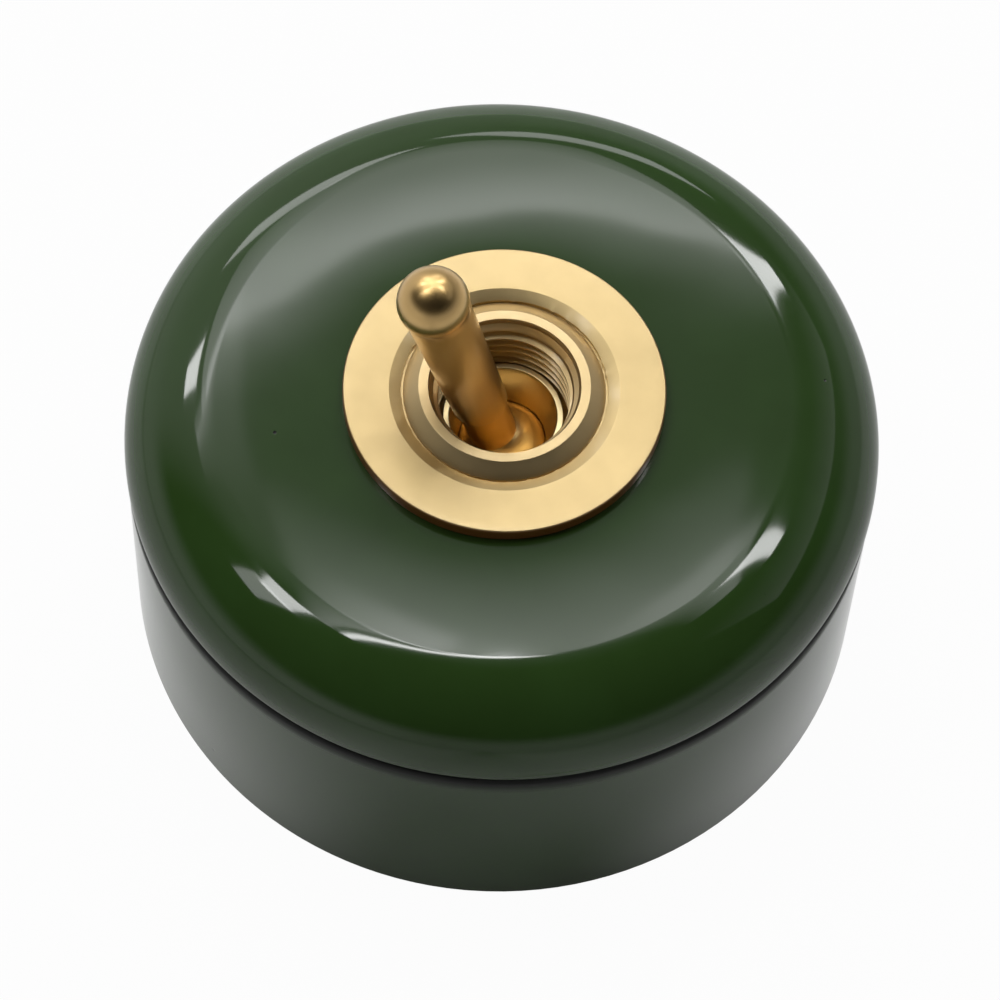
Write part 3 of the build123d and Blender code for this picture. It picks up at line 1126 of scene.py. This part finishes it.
@dataclass(frozen=True)
class SoftLamp:
    """A soft lamp in a level plane over the table, facing down.

    Its place and size are shares of the plane's height over the switch, so that they are the
    slopes at which the switch sees it. The near edge is the one on the right of its length.
    """

    name: str
    over: Point
    size: Point
    turn: float
    radiance: float
    fade: Fade = Fade.EVEN
    switch_top: float = 0.032

    def build(self, height: float) -> None:
        """Make the lamp.

        Args:
            height: Height of its plane over the switch, in metres.
        """
        lamp = bpy.data.lights.new(self.name, "AREA")
        lamp.shape = "RECTANGLE"
        lamp.size, lamp.size_y = (share * height for share in self.size)
        lamp.energy = self.radiance * math.pi * lamp.size * lamp.size_y
        lamp.use_nodes = True
        tree = lamp.node_tree
        where = add_node(tree, "NewGeometry")
        split = add_node(tree, "SeparateXYZ", {}, {0: where.outputs["Parametric"]})
        ramp = add_node(
            tree,
            "MapRange",
            span(0.0, 1.0, 1.0, self.fade.value),
            {"Value": split.outputs["Y"]},
        )
        tree.links.new(ramp.outputs["Result"], tree.nodes["Emission"].inputs["Strength"])
        holder = bpy.data.objects.new(self.name, lamp)
        bpy.context.scene.collection.objects.link(holder)
        spot = Vector((self.over[0] * height, self.over[1] * height, height + self.switch_top))
        turned = Matrix.Rotation(math.radians(self.turn), 4, "Z")
        holder.matrix_world = Matrix.Translation(spot) @ turned
        holder.visible_camera = False


@dataclass
class Studio:
    """White table, soft lamps overhead and behind, and the camera.

    The camera's sizes are in millimetres, and the table's reach and the lamps' heights in metres.
    Each lamp hangs a little higher than the one before it, since lamps that overlap in one plane
    would hide each other. The table glows in reflections beside the switch and not in front.
    """

    aim: tuple[float, float, float] = (0.12, -5.3, 22.8)
    orbit_centre: float = 22.8
    distance: float = 390.0
    elevation: float = 61.7
    roll: float = -3.1
    lens: float = 162.0
    sensor: float = 36.0
    lamp_height: float = 0.5
    lamp_step: float = 0.003
    floor_reach: float = 4.0
    floor_drop: float = 0.05
    horizon: float = 0.38
    low_left: float = 0.2
    backdrop: float = 0.08
    high_left: float = 0.45
    table_white: float = 0.97
    table_glow: float = 0.08
    side_glow: float = 0.6
    far_glow: float = 0.26
    glow_aside: Point = (8.0, 30.0)
    glow_away: Point = (34.0, 41.0)
    lamps: tuple[SoftLamp, ...] = (
        SoftLamp("front_glow", (0.01, 0.468), (0.20, 0.115), 10.0, 2.7, Fade.STRONG),
        SoftLamp("front_line", (-0.02, 0.386), (0.10, 0.02), 10.0, 8.0),
        SoftLamp("front_wing_left", (-0.106, 0.233), (0.42, 0.02), 55.0, 18.0),
        SoftLamp("front_haze_wing", (-0.165, 0.274), (0.42, 0.08), 55.0, 3.2, Fade.STRONG),
        SoftLamp("front_wing_right", (0.21, 0.31), (0.40, 0.13), 135.0, 2.4, Fade.STRONG),
        SoftLamp("front_patch_left", (-0.39, 0.09), (0.22, 0.105), 40.0, 11.0),
        SoftLamp("front_haze_left", (-0.60, -0.01), (0.34, 0.14), 22.0, 3.0),
        SoftLamp("front_patch_right", (0.40, 0.32), (0.36, 0.075), -19.0, 12.0),
        SoftLamp("back_patch_left", (-0.69, 0.68), (0.34, 0.115), -8.0, 12.0),
        SoftLamp("back_patch_right", (0.41, 0.92), (0.58, 0.09), 44.0, 13.0),
        SoftLamp("back_panel", (-0.14, 0.82), (0.62, 0.46), 14.0, 2.2, Fade.SOFT),
        SoftLamp("back_edge", (-0.08, 0.629), (0.46, 0.06), 14.0, 3.2, Fade.STRONG),
        SoftLamp("back_haze", (-0.20, 0.545), (0.70, 0.05), 194.0, 1.7, Fade.STRONG),
        SoftLamp("left_haze", (-0.33, 0.49), (0.46, 0.16), 194.0, 1.2, Fade.STRONG),
        SoftLamp("right_haze", (1.0, 0.6), (1.6, 0.9), 90.0, 0.5, Fade.STRONG),
        SoftLamp("back_ridge_left", (-0.53, 1.22), (0.74, 0.22), -26.0, 4.0),
        SoftLamp("back_ridge_right", (0.24, 1.72), (0.90, 0.34), 38.0, 3.0),
    )

    def build_world(self) -> None:
        """Make the surroundings: pale at the horizon, dark overhead, and white to the eye."""
        world = bpy.data.worlds.new("studio_surroundings")
        bpy.context.scene.world = world
        world.use_nodes = True
        tree = world.node_tree
        glow = tree.nodes["Background"]
        glow.inputs["Color"].default_value = srgb("#FFFFFF")
        place = add_node(tree, "TexCoord")
        split = add_node(tree, "SeparateXYZ", {}, {0: place.outputs["Generated"]})
        # Name and axis of each ramp, the two shares of that axis it runs between, and its ends.
        ramps = {
            name: add_node(
                tree,
                "MapRange",
                SMOOTH | span(start, end, low, high),
                {"Value": split.outputs[way]},
            ).outputs["Result"]
            for name, way, start, end, low, high in (
                ("near_level", "Z", 0.15, 0.45, 1.0, 0.0),
                ("behind", "Y", 0.15, 0.45, 0.0, 1.0),
                ("high", "X", 0.3, -0.35, self.backdrop, self.backdrop + self.high_left),
                ("low", "X", -0.1, -0.7, self.horizon, self.horizon + self.low_left),
            )
        }
        above = add_node(
            tree, "Math", {"operation": "MULTIPLY"}, {0: ramps["behind"], 1: ramps["high"]}
        )
        whole = add_node(
            tree, "Mix", {}, {0: ramps["near_level"], 2: above.outputs["Value"], 3: ramps["low"]}
        )
        path = add_node(tree, "LightPath")
        shown = add_node(
            tree,
            "Math",
            {"operation": "MAXIMUM"},
            {0: whole.outputs[0], 1: path.outputs["Is Camera Ray"]},
        )
        tree.links.new(shown.outputs["Value"], glow.inputs["Strength"])

    def build_floor(self) -> None:
        """Make the white table, which keeps a soft shadow and is clear from below."""
        shell = Shell()
        shell.turn([(self.floor_reach / MM, -self.floor_drop), (0.0, -self.floor_drop)], 96)
        floor = shell.build("table_top")
        material, tree, surface = start_material("table_matt_white")
        surface.inputs["Base Color"].default_value = srgb("#EDEDED")
        surface.inputs["Roughness"].default_value = 0.9
        path = add_node(tree, "LightPath")
        mirrored = add_node(
            tree,
            "Math",
            {"operation": "MAXIMUM"},
            {0: path.outputs["Is Glossy Ray"], 1: path.outputs["Is Transmission Ray"]},
        )
        place = object_millimetres(tree)
        split = add_node(tree, "SeparateXYZ", {}, {0: place})
        aside = add_node(tree, "Math", {"operation": "ABSOLUTE"}, {0: split.outputs["X"]})
        away = add_node(tree, "VectorMath", {"operation": "LENGTH"}, {0: place})
        beside = add_node(
            tree,
            "MapRange",
            span(*self.glow_away, self.side_glow, self.far_glow),
            {"Value": away.outputs["Value"]},
        )
        glow = add_node(
            tree,
            "MapRange",
            SMOOTH | span(*self.glow_aside, self.table_glow),
            {"Value": aside.outputs["Value"], "To Max": beside.outputs["Result"]},
        )
        faint = add_node(
            tree,
            "Math",
            {"operation": "MULTIPLY"},
            {0: mirrored.outputs["Value"], 1: glow.outputs["Result"]},
        )
        white = add_node(tree, "Emission", {"Color": srgb("#FFFFFF"), "Strength": 1.0})
        share = add_node(
            tree,
            "Math",
            {"operation": "MULTIPLY_ADD", 1: self.table_white},
            {0: path.outputs["Is Camera Ray"], 2: faint.outputs["Value"]},
        )
        blend = add_node(
            tree,
            "MixShader",
            {},
            {0: share.outputs["Value"], 1: surface.outputs["BSDF"], 2: white.outputs["Emission"]},
        )
        # The table's faces point down, so that the eye above it sees their backs.
        side = add_node(tree, "NewGeometry")
        clear = add_node(tree, "BsdfTransparent")
        seen = add_node(
            tree,
            "MixShader",
            {},
            {0: side.outputs["Backfacing"], 1: clear.outputs["BSDF"], 2: blend.outputs["Shader"]},
        )
        tree.links.new(seen.outputs["Shader"], tree.nodes["Material Output"].inputs["Surface"])
        dress(floor, material)

    def build_camera(self) -> None:
        """Set the camera at the photograph's viewing angle."""
        rise = math.radians(self.elevation)
        spot = Vector((0, -math.cos(rise), math.sin(rise))) * self.distance
        spot.z += self.orbit_centre
        camera = bpy.data.cameras.new("camera")
        camera.lens = self.lens
        camera.sensor_width = self.sensor
        camera.clip_start = 0.01
        holder = bpy.data.objects.new("camera", camera)
        bpy.context.scene.collection.objects.link(holder)
        look = (Vector(self.aim) - spot).to_track_quat("-Z", "Y").to_matrix()
        look = look @ Matrix.Rotation(math.radians(-self.roll), 3, "Z")
        holder.matrix_world = Matrix.Translation(spot * MM) @ look.to_4x4()
        bpy.context.scene.camera = holder

    def build(self) -> None:
        """Set up the studio."""
        self.build_world()
        self.build_floor()
        for index, lamp in enumerate(self.lamps):
            lamp.build(self.lamp_height + self.lamp_step * index)
        self.build_camera()
        bpy.context.scene.view_settings.view_transform = "Standard"
        log.info("studio: %d lamps", len(self.lamps))


def main() -> None:
    """Build the switch and its studio, piece by piece."""
    logging.basicConfig(level=logging.INFO, format="%(name)s: %(message)s")
    lever = ToggleLever()
    plain_brass = TurnedBrass(
        "turned_brass_yellow", BrassTone.YELLOW, roughness=0.3, grooves=0.002
    ).material()
    plate_brass = TurnedBrass(
        "turned_brass_satin_pale",
        BrassTone.PALE,
        roughness=0.42,
        grooves=0.0015,
        anisotropy=0.4,
        lacquer=0.4,
        brown_rim_from=13.6,
    ).material()
    nut_brass = TurnedBrass(
        "turned_brass_nut", BrassTone.LIGHT, roughness=0.48, grooves=0.006, lacquer=0.5
    ).material()
    lever_brass = TurnedBrass(
        "turned_brass_deep",
        BrassTone.DEEP,
        roughness=0.32,
        grooves=0.002,
        axis=lever.axis(),
        lacquer=0.5,
    ).material()
    CeramicCasing().build(GreenGlaze().material())
    BrassTrim().build(plate_brass, nut_brass)
    ThreadedBushing().build(plain_brass)
    lever.build(lever_brass)
    SwitchMechanism().dress_all(plain_brass)
    Studio().build()


if __name__ == "__main__":
    main()
